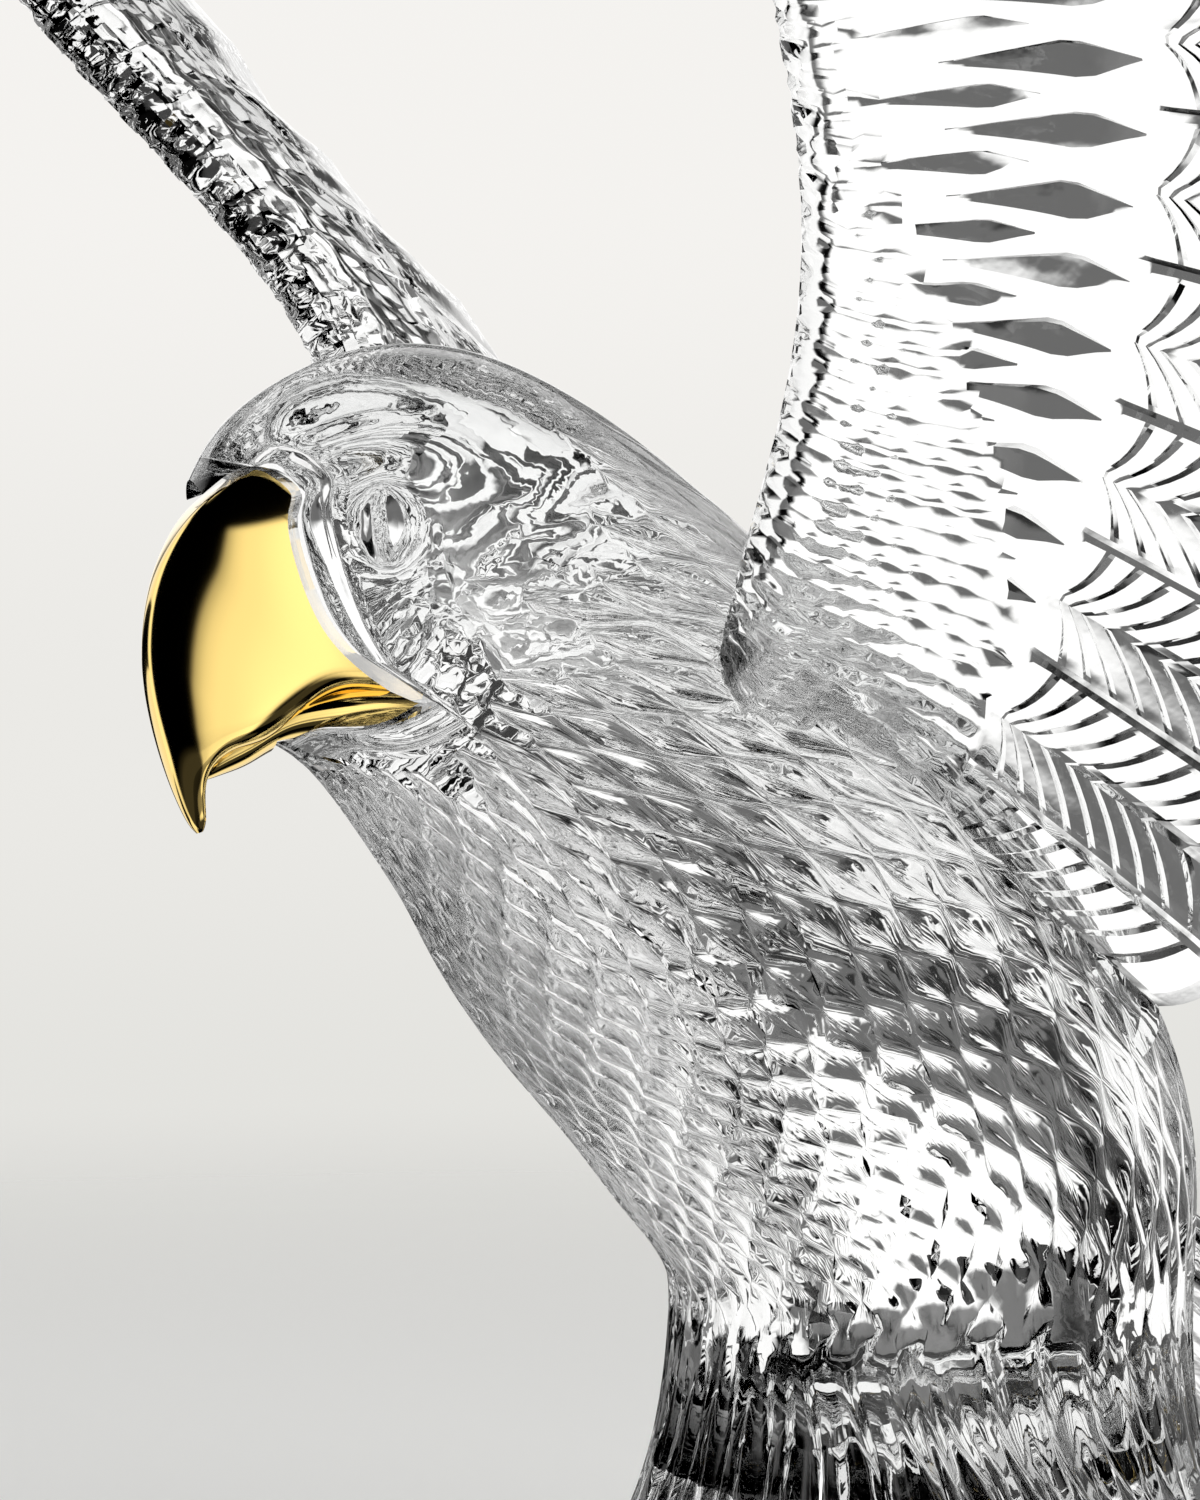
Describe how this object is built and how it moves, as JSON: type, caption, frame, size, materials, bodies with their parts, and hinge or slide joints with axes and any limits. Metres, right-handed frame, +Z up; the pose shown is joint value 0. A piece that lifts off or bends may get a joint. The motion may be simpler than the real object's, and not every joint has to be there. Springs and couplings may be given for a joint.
{
  "type": "crystal eagle sculpture",
  "caption": "Clear cut-crystal eagle with raised wings, head turned aside, hooked gilt beak, on a flared fluted foot.",
  "frame": {"origin": "centre of the foot's flat underside, on the surface the sculpture stands on", "axes": "+Z up, -Y the way the breast faces, +X the bird's left"},
  "size_m": [0.3568, 0.2497, 0.4557],
  "materials": {
    "crystal": "clear cut and polished crystal",
    "gilt": "polished gold"
  },
  "bodies": {
    "root": {"crystal_eagle": "crystal", "gilt_beak": "gilt"}
  },
  "joints": []
}
